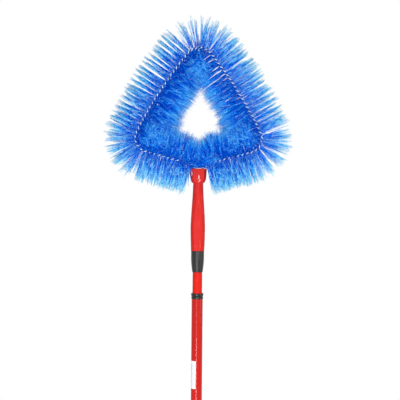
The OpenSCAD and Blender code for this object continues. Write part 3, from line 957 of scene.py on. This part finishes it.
def lay_locks(first, last, look, chance):
    """Where the locks leave the wire, and the ray, turn, lean and other facts of each."""
    locks = int((last - first) / MM * look.filaments_per_mm / lock_size)
    way = first + (last - first) * (np.arange(locks) + chance.random(locks)) / locks
    ray = twists(way) + math.pi / 2
    outwards = chance.random(locks) < look.outer_share
    ray = ray + math.pi * ((np.cos(ray) > 0) != outwards)
    half_turn = np.floor(twists(way) / math.pi).astype(int)
    spread = np.radians(np.where(outwards, look.outer_spread, look.inner_spread))
    turn = ray + spread * bundle_widths[half_turn] * chance.normal(size=locks)
    turn -= pull_to_plane * np.sin(2 * turn)
    lean_spread = np.radians(np.where(outwards, look.outer_lean, look.inner_lean))
    lean = bundle_leans[half_turn] + lean_spread * chance.normal(size=locks)
    from_handle = np.minimum(way, wire_len - way) - bristle_start + early
    nearness = np.clip(1 - from_handle / near_handle, 0, 1) * (np.cos(ray) < 0.2)
    nearness *= np.cos(along(way)[1]) ** 2
    lean += np.sign(way - wire_len / 2) * nearness * np.radians(chance.normal(13, 12, locks))
    tone = chance.random(locks)
    shortness = chance.uniform(0, 1, locks)
    sway = chance.normal(scale=0.012, size=(locks, 3))
    slip = min(0.4 * look.outer_lean, 1.0) * MM * chance.normal(size=locks)
    return {
        "way": way + slip, "ray": ray, "turn": turn, "lean": lean, "nearness": nearness,
        "tone": tone, "shortness": shortness, "sway": sway,
    }


def vary_lengths(lengths, turns, lock, look, chance):
    """Shortens some locks, those over the handle, and the filaments in each lock unevenly."""
    outside = np.cos(turns) > 0
    lengths = lengths * np.where(outside, look.shortest, inner_cut) ** lock["shortness"]
    lengths = lengths * (1 - handle_cut * lock["nearness"])
    outer_share = chance.uniform(0.94, 1.0, len(lengths))
    inner_share = chance.uniform(0.78, 1.0, len(lengths))
    return lengths * np.where(outside, outer_share, inner_share)


def bristle_section(name, first, last, look, seed):
    """The bristles between two ways along the wire, in locks that cling together."""
    chance = np.random.default_rng(seed)
    locks = lay_locks(first, last, look, chance)
    lock = {fact: np.repeat(numbers, lock_size, axis=0) for fact, numbers in locks.items()}
    count = len(lock["way"])
    way = np.clip(lock["way"] + chance.normal(scale=0.25 * MM, size=count), first, last)
    turns = lock["turn"] + chance.normal(scale=math.radians(1.2), size=count)
    leans = lock["lean"] + chance.normal(scale=math.radians(0.6), size=count)
    middles, headings = along(way)
    directions = unit(spokes(headings, turns) + np.tan(leans)[:, None] * forwards(headings))
    lengths = free_lengths(turns, look.inner_reach * MM * chance.normal(1.035, 0.06, count))
    lengths = vary_lengths(lengths, turns, lock, look, chance)
    sways = lock["sway"] + chance.normal(scale=0.006, size=(count, 3))
    gaps = spokes(headings, lock["ray"] + chance.normal(scale=math.radians(7), size=count))
    roots = middles + 0.3 * MM * gaps
    thickness = filament_r * chance.uniform(0.75, 1.2, count)
    corners = bend_filaments(roots, gaps, directions, lengths, sways, thickness, chance)
    tones = 0.8 * lock["tone"] + 0.2 * chance.random(count)
    kept = clear_of_handle(roots, roots + lengths[:, None] * directions)
    kept &= abs(np.cos(turns)) > flat_share
    # Share of painted light in a filament's colour: full outside the loop, none inside it.
    in_light = np.clip(0.5 + 1.5 * np.cos(turns), 0, 1)
    return filament_piece(name, corners[kept], own_tone=tones[kept], in_light=in_light[kept])


blue = bristle_plastic()
base_part = (base_len - bare_wire) / 2
side_part = side_len / 3
corner_part = corner_r * corner_turn
top_part = 2 * top_r * top_half_turn
left_looks = {
    "base_left_inner": (base_part, Look(90, 0.46, 35, 30, 2.4, 5, 0.85, 58)),
    "base_left_outer": (base_part, Look(92, 0.47, 30, 30, 3.0, 6, 0.80, 62)),
    "corner_left": (corner_part, Look(82, 0.46, 20, 32, 4.0, 7, 0.78, 78)),
    "side_left_lower": (side_part, Look(84, 0.37, 26, 30, 0.8, 7, 0.76, 74)),
    "side_left_middle": (side_part, Look(82, 0.35, 20, 30, 0.7, 7, 0.76, 66)),
    "side_left_upper": (side_part, Look(76, 0.33, 11, 30, 0.7, 6, 0.76, 64)),
}
top_look = {"top": (top_part, Look(48, 0.42, 10, 30, 5, 6, 0.74, 64))}
right_looks = {
    "side_right_upper": (side_part, Look(60, 0.36, 12, 24, 0.8, 3, 0.74, 60)),
    "side_right_middle": (side_part, Look(62, 0.36, 12, 28, 0.8, 3, 0.74, 62)),
    "side_right_lower": (side_part, Look(68, 0.37, 13, 30, 0.9, 3, 0.74, 69)),
    "corner_right": (corner_part, Look(66, 0.44, 20, 32, 3.6, 7, 0.76, 76)),
    "base_right_outer": (base_part, Look(90, 0.46, 30, 30, 2.8, 6, 0.80, 60)),
    "base_right_inner": (base_part, Look(88, 0.45, 35, 30, 2.4, 5, 0.85, 58)),
}
sections = {**left_looks, **top_look, **right_looks}
reached = bristle_start
for seed, (name, (length, look)) in enumerate(sections.items()):
    first = reached - early if seed == 0 else reached
    reached += length
    last = reached + early if seed == len(sections) - 1 else reached
    tuft = bristle_section("filaments_" + name, first, last, look, seed)
    fit(tuft, "brush_head", "blue_bristle", blue, "bristles_" + name)


# Stage: white surroundings, a pale floor that keeps the shadow, soft lights in front and
# at both sides, two strips that draw the thin line on the pole, and the camera.
def seen_straight(owner):
    """1 for what the camera, a reflection or clear plastic shows, and 0 for bounced light."""
    path = add(owner, "ShaderNodeLightPath").outputs
    seen = sums(owner, "MAXIMUM", path["Is Camera Ray"], path["Is Glossy Ray"])
    return sums(owner, "MAXIMUM", seen, path["Is Transmission Ray"])


ambient = 0.42
world = bpy.data.worlds.new("studio")
bpy.context.scene.world = world
world.use_nodes = True
background = world.node_tree.nodes["Background"]
feed(world, background.inputs["Color"], (1.0, 1.0, 1.0))
feed(world, background.inputs["Strength"], mapped(world, seen_straight(world), 0.0, 1.0, ambient, 1.0))

floor_material = finish("floor", 0.8, 0.1)
shade(floor_material, "Base Color", (0.9, 0.9, 0.9))
floor_tree = floor_material.node_tree
squares = [sums(floor_material, "POWER", way, 2.0) for way in places(floor_material)[:2]]
far_squared = sums(floor_material, "ADD", *squares)
fade_start, fade_end = 0.15, 1.1
fade = mapped(floor_material, sums(floor_material, "SQRT", far_squared), fade_start, fade_end)
fade = sums(floor_material, "MULTIPLY", fade, seen_straight(floor_material))
glow = add(floor_material, "ShaderNodeEmission")
cover = add(floor_material, "ShaderNodeMixShader")
feed(floor_material, cover.inputs[0], fade)
feed(floor_material, cover.inputs[1], floor_tree.nodes["Principled BSDF"].outputs[0])
feed(floor_material, cover.inputs[2], glow.outputs[0])
feed(floor_material, floor_tree.nodes["Material Output"].inputs["Surface"], cover.outputs[0])
alone()
floor_r = 1.4
bpy.ops.mesh.primitive_circle_add(vertices=round_sides, radius=floor_r, fill_type="NGON")
floor = bpy.context.object
floor.name = "floor"
floor.location.z = cad_box[0].z - 0.2 * MM
floor.data.materials.append(floor_material)


def soft_light(name, place, target, width, height, power):
    """A rectangular lamp that faces a point and is hidden from the camera."""
    lamp = bpy.data.lights.new(name, "AREA")
    lamp.shape = "RECTANGLE"
    lamp.size = width
    lamp.size_y = height
    lamp.energy = power
    light = bpy.data.objects.new(name, lamp)
    bpy.context.scene.collection.objects.link(light)
    light.location = place
    light.rotation_euler = (target - Vector(place)).to_track_quat("-Z", "Y").to_euler()
    light.visible_camera = False


middle = Vector((0, 0, 0.8))
soft_light("front_softbox", (0.65, -2.1, 1.3), middle, 0.9, 1.4, 17)
soft_light("left_softbox", (-0.5, -1.9, 0.86), middle, 0.3, 0.8, 10)
soft_light("right_softbox", (1.3, -0.6, 0.9), middle, 0.4, 1.0, 3)
soft_light("low_strip", (-0.16, -1.0, 0.28), Vector((0, 0, 0.5)), 0.2, 0.3, 3.8)
soft_light("faint_strip", (-0.16, -1.0, 0.5), Vector((0, 0, 0.62)), 0.2, 0.14, 0.4)

pixel = 1.965 * MM
frame_pixels = 400
sensor = 36.0
lens = 90.0
distance = lens / sensor * frame_pixels * pixel
axis_at_middle = 198.5
mouth_row = 299.3
image_middle = frame_pixels / 2
look_z = mouth_z + (mouth_row - image_middle) * pixel
look_at = Vector(((image_middle - axis_at_middle) * pixel, 0, look_z))
elevation = math.radians(3.0)
roll = math.radians(0.5)
camera_data = bpy.data.cameras.new("photo_camera")
camera_data.lens = lens
camera_data.sensor_width = sensor
camera = bpy.data.objects.new("photo_camera", camera_data)
bpy.context.scene.collection.objects.link(camera)
camera.location = look_at + distance * Vector((0, -math.cos(elevation), math.sin(elevation)))
camera.rotation_euler = (math.pi / 2 - elevation, -roll, 0)
bpy.context.scene.camera = camera
bpy.context.scene.view_settings.view_transform = "Standard"
